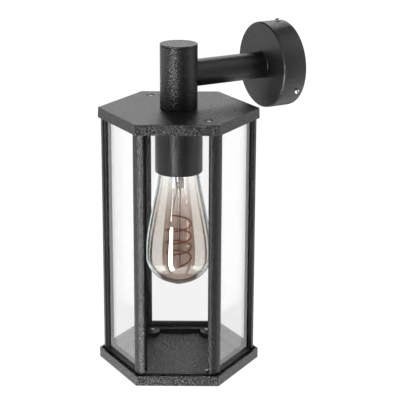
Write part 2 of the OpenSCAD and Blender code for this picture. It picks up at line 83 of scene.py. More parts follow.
AXIS = middle_of("stem_tube").xy.to_3d()        # a point on the lantern's axis, at the arm's height
STEM_R = size_of("stem_tube").x / 2
ARM_R = size_of("arm_tube").x / 2
CUP_R = size_of("wall_cup").x / 2
HOLDER_R = size_of("lampholder_cup").x / 2
BULB_R = size_of("bulb_glass").x / 2
ROD_HOLE_R = 5.2 * MM           # clearance hole for the hollow M10 rods
SAME_POINT = 1e-6               # metres


# ---- Camera, floor and light ----

CAMERA_AZIMUTH = 60.26
CAMERA_ELEVATION = 16.43
CAMERA_ROLL = 0.24
CAMERA_DISTANCE = 1.3326
CAMERA_AIM_RIGHT = 0.0205       # the camera aims this far right of the lantern's axis
CAMERA_AIM_HEIGHT = -0.0902
LENS = 124.25
SHIFT_Y = -0.085
SENSOR_WIDTH = 36.0


def direction(azimuth, elevation=0.0):
    """Unit vector from the object towards a camera at that azimuth and elevation."""
    a, e = math.radians(azimuth), math.radians(elevation)
    return Vector((math.sin(a) * math.cos(e), -math.cos(a) * math.cos(e), math.sin(e)))


def add_camera():
    back = direction(CAMERA_AZIMUTH, CAMERA_ELEVATION)
    right = Vector((0, 0, 1)).cross(back).normalized()
    target = AXIS + Vector((0, 0, CAMERA_AIM_HEIGHT)) + right * CAMERA_AIM_RIGHT
    data = bpy.data.cameras.new("camera")
    data.lens = LENS
    data.sensor_width = SENSOR_WIDTH
    data.shift_y = SHIFT_Y
    data.clip_start = 0.01
    data.clip_end = 50.0
    camera = bpy.data.objects.new("camera", data)
    camera.location = target + back * CAMERA_DISTANCE
    camera.rotation_mode = "QUATERNION"
    turn = (-back).to_track_quat("-Z", "Y")
    camera.rotation_quaternion = turn @ Matrix.Rotation(math.radians(CAMERA_ROLL), 3, "Z").to_quaternion()
    bpy.context.scene.collection.objects.link(camera)
    bpy.context.scene.camera = camera


LIGHTS_AIM_DROP = 0.12          # the panels aim this far below the stem's middle


def softbox(name, turn, elevation, distance, width, height, radiance):
    """Rectangular panel lamp. turn is its azimuth from the camera's in degrees, positive to the right."""
    centre = middle_of("stem_tube") - Vector((0, 0, LIGHTS_AIM_DROP))
    data = bpy.data.lights.new(name, "AREA")
    data.shape = "RECTANGLE"
    data.size = width
    data.size_y = height
    data.energy = radiance * math.pi * width * height
    lamp = bpy.data.objects.new(name, data)
    lamp.location = centre + direction(CAMERA_AZIMUTH + turn, elevation) * distance
    lamp.rotation_mode = "QUATERNION"
    lamp.rotation_quaternion = (centre - lamp.location).to_track_quat("-Z", "Y")
    lamp.visible_camera = False
    lamp.visible_transmission = False
    bpy.context.scene.collection.objects.link(lamp)


WHITE = 1.06    # the backdrop, a little over-exposed
DIM = 0.03      # the studio's walls between the panels


def add_world():
    """White behind the object, and dim as a source of light, so that the panels give the form."""
    world = bpy.data.worlds.new("studio")
    world.use_nodes = True
    nodes, links = world.node_tree.nodes, world.node_tree.links
    nodes.clear()
    out = nodes.new("ShaderNodeOutputWorld")
    path = nodes.new("ShaderNodeLightPath")
    seen = number_math(nodes, links, "MAXIMUM", path.outputs["Is Camera Ray"],
                       path.outputs["Is Transmission Ray"])
    white = nodes.new("ShaderNodeBackground")
    white.inputs["Color"].default_value = (WHITE, WHITE, WHITE, 1)
    dim = nodes.new("ShaderNodeBackground")
    dim.inputs["Color"].default_value = (DIM, DIM, DIM, 1)
    mix = nodes.new("ShaderNodeMixShader")
    links.new(seen, mix.inputs[0])
    links.new(dim.outputs[0], mix.inputs[1])
    links.new(white.outputs[0], mix.inputs[2])
    links.new(mix.outputs[0], out.inputs["Surface"])
    bpy.context.scene.world = world


def add_floor():
    """Plain pale floor, lit from inside like a light table, so it joins the white behind."""
    drop = 0.45
    half = 4.0
    z = CAD_LOW.z - drop
    mesh = bpy.data.meshes.new("floor")
    corners = [(-half, -half, z), (half, -half, z), (half, half, z), (-half, half, z)]
    mesh.from_pydata(corners, [], [(0, 1, 2, 3)])
    floor = bpy.data.objects.new("floor", mesh)
    bpy.context.scene.collection.objects.link(floor)
    material, _, _, shader = new_material("floor")
    shader.inputs["Base Color"].default_value = (0, 0, 0, 1)
    shader.inputs["Specular IOR Level"].default_value = 0
    shader.inputs["Emission Color"].default_value = (1, 1, 1, 1)
    shader.inputs["Emission Strength"].default_value = WHITE
    mesh.materials.append(material)
    floor.visible_diffuse = False
    floor.visible_glossy = False
    floor.visible_shadow = False


# ---- Materials ----

def new_material(name):
    material = bpy.data.materials.new(name)
    material.use_nodes = True
    tree = material.node_tree
    return material, tree.nodes, tree.links, tree.nodes["Principled BSDF"]


def noise_texture(nodes, links, grain_mm, detail=2.0, roughness=0.5):
    """Noise whose lumps are about grain_mm across, fixed to the piece."""
    place = nodes.new("ShaderNodeTexCoord")
    texture = nodes.new("ShaderNodeTexNoise")
    texture.inputs["Scale"].default_value = 1.0 / (grain_mm * MM)
    texture.inputs["Detail"].default_value = detail
    texture.inputs["Roughness"].default_value = roughness
    links.new(place.outputs["Object"], texture.inputs["Vector"])
    return texture


def noise(nodes, links, grain_mm, detail=2.0, roughness=0.5):
    return noise_texture(nodes, links, grain_mm, detail, roughness).outputs["Fac"]


def vector_math(nodes, links, operation, first, second=None):
    """One operation on vectors; second is a socket, a constant vector, or for SCALE a number."""
    node = nodes.new("ShaderNodeVectorMath")
    node.operation = operation
    links.new(first, node.inputs[0])
    if isinstance(second, bpy.types.NodeSocket):
        links.new(second, node.inputs[1])
    elif operation == "SCALE":
        node.inputs["Scale"].default_value = second
    elif second is not None:
        node.inputs[1].default_value = second
    return node.outputs[0]


def leaning_normal(nodes, links, grain_mm, lean):
    """The surface's normal, leaning another way on every grain."""
    grains = noise_texture(nodes, links, grain_mm, detail=1.0)
    surface = nodes.new("ShaderNodeNewGeometry")
    centred = vector_math(nodes, links, "SUBTRACT", grains.outputs["Color"], (0.5, 0.5, 0.5))
    scaled = vector_math(nodes, links, "SCALE", centred, lean)
    leaning = vector_math(nodes, links, "ADD", scaled, surface.outputs["Normal"])
    return vector_math(nodes, links, "NORMALIZE", leaning)


def spread(nodes, links, value, low, high, from_low=0.3, from_high=0.7):
    """Value stretched to run from low to high."""
    stretch = nodes.new("ShaderNodeMapRange")
    stretch.inputs["From Min"].default_value = from_low
    stretch.inputs["From Max"].default_value = from_high
    stretch.inputs["To Min"].default_value = low
    stretch.inputs["To Max"].default_value = high
    links.new(value, stretch.inputs["Value"])
    return stretch.outputs["Result"]


def two_colours(nodes, links, value, first, second):
    ramp = nodes.new("ShaderNodeValToRGB")
    ramp.color_ramp.elements[0].color = (*first, 1)
    ramp.color_ramp.elements[1].color = (*second, 1)
    ramp.color_ramp.elements[0].position = 0.35
    ramp.color_ramp.elements[1].position = 0.65
    links.new(value, ramp.inputs["Fac"])
    return ramp.outputs["Color"]


def bump(nodes, links, height, depth_mm):
    node = nodes.new("ShaderNodeBump")
    node.inputs["Strength"].default_value = 1.0
    node.inputs["Distance"].default_value = depth_mm * MM
    links.new(height, node.inputs["Height"])
    return node.outputs["Normal"]


# painted shade: the colour of the coat's pits, darker than its tops
PIT_SHADE_BLACK = (0.002, 0.002, 0.002)
TOP_BLACK = (0.014, 0.014, 0.0143)
COAT_SPREAD = 0.04              # how far the coat's roughness varies either way
COAT_SPECULAR = 0.25


def powder_coat(name, grain_mm, lean, roughness):
    """Black textured powder coat: every grain catches the light its own way, and the pits get painted
    shade, a darker colour.
    """
    material, nodes, links, shader = new_material(name)
    pebbles = noise(nodes, links, grain_mm, detail=3.0, roughness=0.6)
    pits = roughness + COAT_SPREAD
    tops = roughness - COAT_SPREAD
    # painted shade: darker colour in the pits, the coat's own black on the tops
    links.new(two_colours(nodes, links, pebbles, PIT_SHADE_BLACK, TOP_BLACK), shader.inputs["Base Color"])
    links.new(spread(nodes, links, pebbles, pits, tops), shader.inputs["Roughness"])
    shader.inputs["Specular IOR Level"].default_value = COAT_SPECULAR
    links.new(leaning_normal(nodes, links, grain_mm, lean), shader.inputs["Normal"])
    return material


TARNISH_MM = 4.0
TARNISH_SHADE = 0.78
MARK_DEPTH_MM = 0.006


def bare_metal(name, colour, roughness, brushed_mm=0.25):
    """Plated or plain metal with fine drawing marks and a little tarnish."""
    material, nodes, links, shader = new_material(name)
    shader.inputs["Metallic"].default_value = 1.0
    marks = noise(nodes, links, brushed_mm, detail=4.0)
    tarnish = noise(nodes, links, TARNISH_MM, detail=3.0)
    dull = [TARNISH_SHADE * c for c in colour]
    smoothest = roughness - 0.07
    roughest = roughness + 0.08
    links.new(two_colours(nodes, links, tarnish, dull, colour), shader.inputs["Base Color"])
    links.new(spread(nodes, links, marks, smoothest, roughest), shader.inputs["Roughness"])
    links.new(bump(nodes, links, marks, MARK_DEPTH_MM), shader.inputs["Normal"])
    return material


CLOUD_MM = 6.0                  # moulded parts: size and shade of the faint clouds in their colour
CLOUD_SHADE = 0.8
MOULD_SPREAD = 0.05             # and how far their roughness varies either way


def moulded(name, colour, roughness, grain_mm=0.6, depth_mm=0.01):
    """Rubber, plastic or ceramic with a faint grain."""
    material, nodes, links, shader = new_material(name)
    grain = noise(nodes, links, grain_mm, detail=3.0)
    clouds = noise(nodes, links, CLOUD_MM)
    darker = [CLOUD_SHADE * c for c in colour]
    rougher = roughness + MOULD_SPREAD
    links.new(two_colours(nodes, links, clouds, darker, colour), shader.inputs["Base Color"])
    links.new(spread(nodes, links, grain, roughness - MOULD_SPREAD, rougher), shader.inputs["Roughness"])
    links.new(bump(nodes, links, grain, depth_mm), shader.inputs["Normal"])
    return material


def number_math(nodes, links, operation, first, second=None):
    """One operation on numbers; second is a socket or a constant."""
    node = nodes.new("ShaderNodeMath")
    node.operation = operation
    links.new(first, node.inputs[0])
    if isinstance(second, bpy.types.NodeSocket):
        links.new(second, node.inputs[1])
    elif second is not None:
        node.inputs[1].default_value = second
    return node.outputs[0]


def mixed(nodes, links, share, first, second, colours=True):
    """Mix of two colours or two numbers, each a constant or a socket."""
    node = nodes.new("ShaderNodeMix")
    node.data_type = "RGBA" if colours else "FLOAT"
    links.new(share, node.inputs[0])
    for slot, value in zip((6, 7) if colours else (2, 3), (first, second)):
        if isinstance(value, bpy.types.NodeSocket):
            links.new(value, node.inputs[slot])
        else:
            node.inputs[slot].default_value = (*value, 1) if colours else value
    return node.outputs[2 if colours else 0]


GLASS_GLINT = (0.88, 1.0, 0.99)         # the bulb's soda glass gives back slightly green light
GRAZING_POWER = 4.5                     # how late glass grows into a mirror as it turns from the eye


def height_fade(nodes, links, start, end):
    """A smooth share that goes from 0 at one height to 1 at another."""
    place = nodes.new("ShaderNodeTexCoord")
    height = nodes.new("ShaderNodeSeparateXYZ")
    links.new(place.outputs["Object"], height.inputs[0])
    fade = nodes.new("ShaderNodeMapRange")
    fade.interpolation_type = "SMOOTHSTEP"
    fade.inputs["From Min"].default_value = start
    fade.inputs["From Max"].default_value = end
    links.new(height.outputs["Z"], fade.inputs["Value"])
    return fade.outputs["Result"]


# the bulb's painted outline: painted shade laid on as a dark line and a dark rim, by how far the wall
# turns from the eye
LINE_AT = 0.60                  # how far the bulb's wall is turned from the eye at its inner dark line
LINE_HALF_WIDTH = 0.042
LINE_DEPTH = 0.55
FAR_WALL_GLINT = 0.03


def far_wall(nodes, links, axis):
    """1 on the wall of a hollow bulb that is turned towards its axis from where it is seen, else 0."""
    place = nodes.new("ShaderNodeTexCoord")
    outwards = vector_math(nodes, links, "SUBTRACT", place.outputs["Object"], (axis.x, axis.y, 0))
    level = vector_math(nodes, links, "MULTIPLY", outwards, (1, 1, 0))
    geometry = nodes.new("ShaderNodeNewGeometry")
    along = nodes.new("ShaderNodeVectorMath")
    along.operation = "DOT_PRODUCT"
    links.new(level, along.inputs[0])
    links.new(geometry.outputs["Normal"], along.inputs[1])
    return number_math(nodes, links, "LESS_THAN", along.outputs["Value"], 0.0)


def thin_glass(name, tint, painted_rim_shade, rim_power, mirror, smoke=None, outline=None, axis=None):
    """Glass too thin to bend light: tinted see-through, with a mirror that grows towards the edges, and
    painted shade that darkens the see-through there.

    smoke, if given, is (tint, mirror, top, bottom, crown tint, crown top, crown bottom): a vapour coat
    that thickens from height top to bottom; from crown top to crown bottom the tint turns lighter again,
    painted light for the brightness that the crown reflects.
    outline, if given, is (start, end, shade): painted shade, a dark line along a rounded edge and a dark
    rim at the edge itself, laid on by how far the surface turns from the eye; it darkens the mirror there
    too. axis, if given, is the upright axis of a hollow bulb: its far wall, seen
    through the near one, glints less.
    """
    material, nodes, links, shader = new_material(name)
    out = nodes["Material Output"]
    nodes.remove(shader)
    weight = nodes.new("ShaderNodeLayerWeight")
    weight.inputs["Blend"].default_value = 0.5
    facing = weight.outputs["Facing"]
    through_tint = tint
    base_mirror = mirror
    if smoke:
        smoke_tint, smoke_mirror, top, bottom, crown_lit_tint, crown_top, crown_bottom = smoke
        thickening = height_fade(nodes, links, top, bottom)
        # painted light: the tint turns lighter towards the crown
        crown_lightening = height_fade(nodes, links, crown_top, crown_bottom)
        coat_tint = mixed(nodes, links, crown_lightening, smoke_tint, crown_lit_tint)
        through_tint = mixed(nodes, links, thickening, tint, coat_tint)
        base_mirror = mixed(nodes, links, thickening, mirror, smoke_mirror, colours=False)
    # painted shade: the see-through turns to painted_rim_shade as the glass turns edge-on to the eye
    edge_on = number_math(nodes, links, "POWER", facing, rim_power)
    seen_tint = mixed(nodes, links, edge_on, through_tint, painted_rim_shade)
    grazing = number_math(nodes, links, "POWER", facing, GRAZING_POWER)
    share = mixed(nodes, links, grazing, base_mirror, 1.0, colours=False)
    if axis:
        share = mixed(nodes, links, far_wall(nodes, links, axis), share, FAR_WALL_GLINT, colours=False)
    through = nodes.new("ShaderNodeBsdfTransparent")
    gloss = nodes.new("ShaderNodeBsdfGlossy")
    gloss.inputs["Roughness"].default_value = 0.0
    glint = GLASS_GLINT if smoke else (1, 1, 1)
    gloss.inputs["Color"].default_value = (*glint, 1)
    # painted shade: a dark rim and a dark line on the see-through and on the mirror
    if outline:
        start, end, shade = outline
        rim = spread(nodes, links, facing, 0.0, 1.0, start, end)
        beside_line = number_math(nodes, links, "SUBTRACT", facing, LINE_AT)
        off_line = number_math(nodes, links, "ABSOLUTE", beside_line)
        line = spread(nodes, links, off_line, 0.0, LINE_DEPTH, LINE_HALF_WIDTH, LINE_HALF_WIDTH / 3)
        edge = number_math(nodes, links, "MAXIMUM", rim, line)
        seen_tint = mixed(nodes, links, edge, seen_tint, shade)
        links.new(mixed(nodes, links, edge, glint, shade), gloss.inputs["Color"])
    mix = nodes.new("ShaderNodeMixShader")
    links.new(seen_tint, through.inputs["Color"])
    links.new(share, mix.inputs[0])
    links.new(through.outputs[0], mix.inputs[1])
    links.new(gloss.outputs[0], mix.inputs[2])
    links.new(mix.outputs[0], out.inputs["Surface"])
    return material


def make_materials():
    fine = powder_coat("powder_coat_fine", grain_mm=0.7, lean=0.8, roughness=0.33)
    medium = powder_coat("powder_coat_medium", grain_mm=0.8, lean=1.35, roughness=0.33)
    coarse = powder_coat("powder_coat_coarse", grain_mm=0.85, lean=1.7, roughness=0.3)
    smoke_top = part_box("bulb_glass")[1].z - 12 * MM
    smoke_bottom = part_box("bulb_glass")[1].z - 80 * MM
    # crown_top to crown_bottom: where the bulb's painted light, a lighter tint, comes in
    crown_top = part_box("bulb_glass")[0].z + 26 * MM
    crown_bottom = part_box("bulb_glass")[0].z + 4 * MM
    return {
        "coated_metal": coarse,
        "coated_fine": fine,
        "coated_medium": medium,
        "zinc_steel": bare_metal("zinc_steel", (0.56, 0.56, 0.57), roughness=0.28),
        # painted shade: a darker copy of the zinc steel for the wall bracket, also rougher
        "shaded_zinc_steel": bare_metal("shaded_zinc_steel", (0.26, 0.26, 0.27), roughness=0.45),
        "lead_wire": bare_metal("lead_wire", (0.10, 0.09, 0.08), roughness=0.35),
        "brass": bare_metal("brass", (0.80, 0.60, 0.28), roughness=0.26),
        "black_rubber": moulded("black_rubber", (0.012, 0.012, 0.012), roughness=0.6),
        "white_plastic": moulded("white_plastic", (0.78, 0.78, 0.74), roughness=0.45),
        "brown_insulation": moulded("brown_insulation", (0.20, 0.09, 0.04), roughness=0.5),
        "blue_insulation": moulded("blue_insulation", (0.04, 0.12, 0.38), roughness=0.5),
        "green_insulation": moulded("green_insulation", (0.20, 0.42, 0.06), roughness=0.5),
        "holder_ceramic": moulded("holder_ceramic", (0.80, 0.77, 0.70), roughness=0.55,
                                  grain_mm=0.4, depth_mm=0.02),
        # painted_rim_shade in each glass below: painted shade towards its edges
        "clear_glass": thin_glass("clear_glass", tint=(0.999, 0.999, 0.999), painted_rim_shade=(0.50, 0.50, 0.50),
                                  rim_power=3.0, mirror=0.042),
        "mount_glass": thin_glass("mount_glass", tint=(0.98, 0.98, 0.98), painted_rim_shade=(0.06, 0.05, 0.05),
                                  rim_power=1.5, mirror=0.14),
        "black_insulator": moulded("black_insulator", (0.01, 0.01, 0.012), roughness=0.2),
        "smoked_glass": thin_glass("smoked_glass", tint=(0.985, 0.98, 0.97), painted_rim_shade=(0.34, 0.32, 0.30),
                                   rim_power=4.0, mirror=0.05,
                                   smoke=((0.78, 0.71, 0.67), 0.195, smoke_top, smoke_bottom,
                                          (0.93, 0.885, 0.845), crown_top, crown_bottom),
                                   # painted shade: the bulb's dark outline
                                   outline=(0.80, 0.92, (0.20, 0.19, 0.19)),
                                   axis=middle_of("bulb_glass")),
        "filament_coating": moulded("filament_coating", (0.42, 0.105, 0.006), roughness=0.3),
    }


# ---- Mesh helpers ----

EDGE_ANGLE = 35                 # degrees; a sharper fold is a real edge


def smooth_mesh(mesh, angle=EDGE_ANGLE):
    mesh.polygons.foreach_set("use_smooth", [True] * len(mesh.polygons))
    mesh.set_sharp_from_angle(angle=math.radians(angle))


def add_piece(name, mesh, stands_for, look=None):
    """Puts a finished mesh into the scene as the piece that stands for one or more CAD nodes."""
    first = stands_for[0]
    piece = bpy.data.objects.new(name, mesh)
    bpy.context.scene.collection.objects.link(piece)
    mesh.materials.clear()
    mesh.materials.append(MATERIALS[look or SLOT_OF[first]])
    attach(piece, BODY_OF[first])
    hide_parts(*stands_for)
    return piece


def rounded(corners, steps=4):
    """Outline through corners (x, y, radius), with an arc of that radius at each corner that has one."""
    outline = []
    count = len(corners)
    for i, (x, y, radius) in enumerate(corners):
        here = Vector((x, y))
        if radius <= 0:
            outline.append(here)
            continue
        back = (Vector(corners[i - 1][:2]) - here).normalized()
        ahead = (Vector(corners[(i + 1) % count][:2]) - here).normalized()
        half = back.angle(ahead) / 2
        centre = here + (back + ahead).normalized() * radius / math.sin(half)
        start = here + back * radius / math.tan(half) - centre
        end = here + ahead * radius / math.tan(half) - centre
        arc = start.angle_signed(end)
        for s in range(steps + 1):
            turn = Matrix.Rotation(-arc * s / steps, 2)
            outline.append(centre + turn @ start)
    return outline


def lathe(outline, steps=96):
    """Closed outline of (radius, height) points turned round the Z axis, as a new bmesh."""
    bm = bmesh.new()
    rings = []
    for radius, height in outline:
        if radius < SAME_POINT:
            rings.append([bm.verts.new((0, 0, height))])
        else:
            rings.append([bm.verts.new((radius * math.cos(2 * math.pi * s / steps),
                                        radius * math.sin(2 * math.pi * s / steps), height))
                          for s in range(steps)])
    for i, ring in enumerate(rings):
        after = rings[(i + 1) % len(rings)]
        for s in range(steps):
            t = (s + 1) % steps
            corners = [ring[s % len(ring)], ring[t % len(ring)],
                       after[t % len(after)], after[s % len(after)]]
            unique = [v for k, v in enumerate(corners) if v not in corners[:k]]
            if len(unique) > 2:
                bm.faces.new(unique)
    bmesh.ops.recalc_face_normals(bm, faces=bm.faces)
    return bm


def bridge(bm, rings):
    """Joins each ring of points to the next with four-sided faces."""
    count = len(rings[0])
    for here, after in zip(rings, rings[1:]):
        for s in range(count):
            t = (s + 1) % count
            bm.faces.new((here[s], here[t], after[t], after[s]))


def joined(meshes):
    """One bmesh made of several meshes, which it uses up."""
    bm = bmesh.new()
    for mesh in meshes:
        bm.from_mesh(mesh)
        bpy.data.meshes.remove(mesh)
    return bm


def to_mesh(bm, name, placing=Matrix.Identity(4), angle=EDGE_ANGLE):
    bm.transform(placing)
    mesh = bpy.data.meshes.new(name)
    bm.to_mesh(mesh)
    bm.free()
    smooth_mesh(mesh, angle)
    return mesh


def finished(node, bm, placing=Matrix.Identity(4), angle=EDGE_ANGLE, look=None):
    """Turns a bmesh into the piece that stands for one CAD node."""
    name = node + "_finished"
    add_piece(name, to_mesh(bm, name, placing, angle), [node], look)


ON_AXIS = Matrix.Translation(AXIS)                     # lantern parts: height along +Z
FROM_WALL = Matrix.Rotation(math.pi / 2, 4, "X")       # wall parts: height along -Y, from the wall

FLAT_ANGLE = math.radians(1)
ANY_ANGLE = math.radians(180)


def cleaned(node):
    """The CAD node's own shape, with its flat triangles joined and only its real edges sharp."""
    bm = bmesh.new()
    bm.from_mesh(frame["nodes"][node].data)
    bmesh.ops.remove_doubles(bm, verts=bm.verts, dist=SAME_POINT)
    bmesh.ops.join_triangles(bm, faces=bm.faces, angle_face_threshold=FLAT_ANGLE,
                             angle_shape_threshold=ANY_ANGLE)
    bmesh.ops.recalc_face_normals(bm, faces=bm.faces)
    mesh = bpy.data.meshes.new(node + "_finished")
    bm.to_mesh(mesh)
    bm.free()
    if "custom_normal" in mesh.attributes:
        mesh.attributes.remove(mesh.attributes["custom_normal"])
    smooth_mesh(mesh)
    return add_piece(node + "_finished", mesh, [node])


def softened(node, width_mm, segments=2):
    """The CAD node's own shape with its edges rounded."""
    piece = cleaned(node)
    edge = piece.modifiers.new("rounded edges", "BEVEL")
    edge.width = width_mm * MM
    edge.segments = segments
    edge.limit_method = "ANGLE"
    edge.angle_limit = math.radians(EDGE_ANGLE)
    edge.harden_normals = True
    edge.miter_outer = "MITER_ARC"
    return piece


# ---- Coated round parts ----

def stem_parts():
    low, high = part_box("stem_tube")
    wall = 2.5 * MM
    floor = 4 * MM
    tube = rounded([
        (STEM_R, low.z, 0.5 * MM), (STEM_R, high.z, 0.3 * MM), (STEM_R - wall, high.z, 0),
        (STEM_R - wall, low.z + floor, 0), (ROD_HOLE_R, low.z + floor, 0), (ROD_HOLE_R, low.z, 0)])
    finished("stem_tube", lathe(tube, steps=128), ON_AXIS, look="coated_medium")
    low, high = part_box("stem_cap")
    rim = high.z - 1.6 * MM
    seat = rim - 0.4 * MM
    seat_r = STEM_R - 1 * MM
    plug_r = STEM_R - 2.6 * MM
    bore_r = STEM_R - 4.5 * MM
    cap = rounded([
        (0, high.z, 0), (STEM_R, high.z, 0.5 * MM), (STEM_R, rim, 0.2 * MM), (seat_r, rim, 0),
        (seat_r, seat, 0), (plug_r, seat, 0), (plug_r, low.z, 0.4 * MM), (bore_r, low.z, 0.4 * MM),
        (bore_r, rim, 0), (0, rim, 0)])
    finished("stem_cap", lathe(cap, steps=128), ON_AXIS, look="coated_medium")


def arm_tube():
    """The arm: a round tube whose far end follows the round of the stem."""
    steps = 96
    start = -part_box("arm_tube")[1].y
    wall = 2 * MM
    reach = -AXIS.y
    bite = 0.15 * MM

    def saddle(radius, angle):
        across = radius * math.cos(angle)
        return reach - math.sqrt(STEM_R ** 2 - across ** 2) + bite

    def ring(radius, far):
        points = []
        for s in range(steps):
            angle = 2 * math.pi * s / steps
            out = saddle(radius, angle) if far else start
            points.append(bm.verts.new((radius * math.cos(angle), -out, radius * math.sin(angle))))
        return points

    bm = bmesh.new()
    rings = [ring(ARM_R, False), ring(ARM_R, True), ring(ARM_R - wall, True), ring(ARM_R - wall, False)]
    bridge(bm, rings + rings[:1])
    bmesh.ops.recalc_face_normals(bm, faces=bm.faces)
    finished("arm_tube", bm, look="coated_fine")


def wall_cup():
    low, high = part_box("wall_cup")
    depth = -low.y
    back = -high.y
    wall = 2.7 * MM
    bevel = 1.1 * MM
    outline = rounded([
        (CUP_R, back, 0.3 * MM), (CUP_R, depth - bevel, 0.2 * MM), (CUP_R - bevel, depth, 0.2 * MM),
        (ROD_HOLE_R, depth, 0), (ROD_HOLE_R, depth - wall, 0), (CUP_R - wall, depth - wall, 1.0 * MM),
        (CUP_R - wall, back, 0.3 * MM)])
    finished("wall_cup", lathe(outline, steps=160), FROM_WALL, angle=28, look="coated_fine")
    low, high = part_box("arm_collar")
    outer = size_of("arm_collar").x / 2
    chamfer = 0.6 * MM
    collar = rounded([
        (outer, -high.y, 0), (outer, -low.y - chamfer, 0.1 * MM), (outer - chamfer, -low.y, 0.1 * MM),
        (ROD_HOLE_R, -low.y, 0), (ROD_HOLE_R, -high.y, 0)])
    finished("arm_collar", lathe(collar), FROM_WALL, look="coated_fine")


def lampholder_cup():
    low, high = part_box("lampholder_cup")
    wall = 1.6 * MM
    outline = rounded([
        (HOLDER_R, low.z, 0.6 * MM), (HOLDER_R, high.z, 0.3 * MM), (ROD_HOLE_R, high.z, 0),
        (ROD_HOLE_R, high.z - wall, 0), (HOLDER_R - wall, high.z - wall, 0.8 * MM),
        (HOLDER_R - wall, low.z, 0.6 * MM)])
    finished("lampholder_cup", lathe(outline, steps=128), ON_AXIS, look="coated_fine")


# ---- Screws ----

def hex_socket(bm_screw, top, name):
    """Cuts a hexagonal socket into a screw's head and returns the mesh."""
    mesh = to_mesh(bm_screw, name)
    screw = bpy.data.objects.new(name, mesh)
    cutter_mesh = bpy.data.meshes.new(name + "_cutter")
    bm = bmesh.new()
    socket_r = 1.5 * MM
    depth = 1.6 * MM
    clear = 0.5 * MM
    plan = [Matrix.Rotation(k * math.pi / 3, 2) @ Vector((socket_r, 0)) for k in range(6)]
    above = [bm.verts.new((p.x, p.y, top + clear)) for p in plan]
    below = [bm.verts.new((p.x, p.y, top - depth)) for p in plan]
    bm.faces.new(above)
    bm.faces.new(list(reversed(below)))
    for i in range(len(plan)):
        j = (i + 1) % len(plan)
        bm.faces.new((above[i], below[i], below[j], above[j]))
    bmesh.ops.recalc_face_normals(bm, faces=bm.faces)
    bm.to_mesh(cutter_mesh)
    bm.free()
    cutter = bpy.data.objects.new(name + "_cutter", cutter_mesh)
    for o in (screw, cutter):
        bpy.context.scene.collection.objects.link(o)
    cut = screw.modifiers.new("socket", "BOOLEAN")
    cut.operation = "DIFFERENCE"
    cut.object = cutter
    cut.solver = "EXACT"
    bpy.context.view_layer.update()
    graph = bpy.context.evaluated_depsgraph_get()
    made = bpy.data.meshes.new_from_object(screw.evaluated_get(graph))
    for o in (screw, cutter):
        bpy.data.objects.remove(o)
    return made


def pan_head(head_r, head_h, brim_h, shank_r, shank_l):
    """A domed screw with a hexagonal socket, standing on its head's seat at height 0."""
    outline = rounded([
        (0, head_h, 0), (head_r * 0.55, head_h, 1.2 * MM), (head_r, brim_h, 0.5 * MM),
        (head_r, 0, 0.15 * MM), (shank_r, 0, 0), (shank_r, -shank_l, 0.4 * MM), (0, -shank_l, 0)], steps=5)
    return hex_socket(lathe(outline, steps=48), head_h, "pan_head")


def cup_screws():
    """Three pan-head screws with hexagonal sockets, round the rim of the wall cup."""
    single = pan_head(head_r=2.5 * MM, head_h=2.4 * MM, brim_h=1.1 * MM, shank_r=1.2 * MM, shank_l=7 * MM)
    along = middle_of("cup_screws").y
    copies = []
    for angle in (90, 210, 330):
        spoke = Vector((math.cos(math.radians(angle)), 0, math.sin(math.radians(angle))))
        turn = spoke.to_track_quat("Z", "Y").to_matrix().to_4x4()
        copy = single.copy()
        copy.transform(Matrix.Translation(spoke * CUP_R + Vector((0, along, 0))) @ turn)
        copies.append(copy)
    finished("cup_screws", joined(copies), angle=40)


def lid_screws():
    """The two low domed screws whose heads sit in the lid's counterbores."""
    low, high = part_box("lid_screws")
    head_h = 2.6 * MM
    shank_l = high.z - low.z - head_h - 0.1 * MM
    single = pan_head(head_r=3.3 * MM, head_h=head_h, brim_h=1.5 * MM, shank_r=1.85 * MM, shank_l=shank_l)
    corners = frame["nodes"]["lid_screws"].data.vertices
    copies = []
    for side in (-1, 1):
        points = [corner.co for corner in corners if corner.co.x * side > 0]
        x = (min(p.x for p in points) + max(p.x for p in points)) / 2
        y = (min(p.y for p in points) + max(p.y for p in points)) / 2
        copy = single.copy()
        copy.transform(Matrix.Translation((x, y, high.z - head_h)))
        copies.append(copy)
    finished("lid_screws", joined(copies), angle=40)


# ---- Lamp ----

def bezier(points, t):
    a, b, c, d = (Vector(p) for p in points)
    return (1 - t) ** 3 * a + 3 * (1 - t) ** 2 * t * b + 3 * (1 - t) * t ** 2 * c + t ** 3 * d


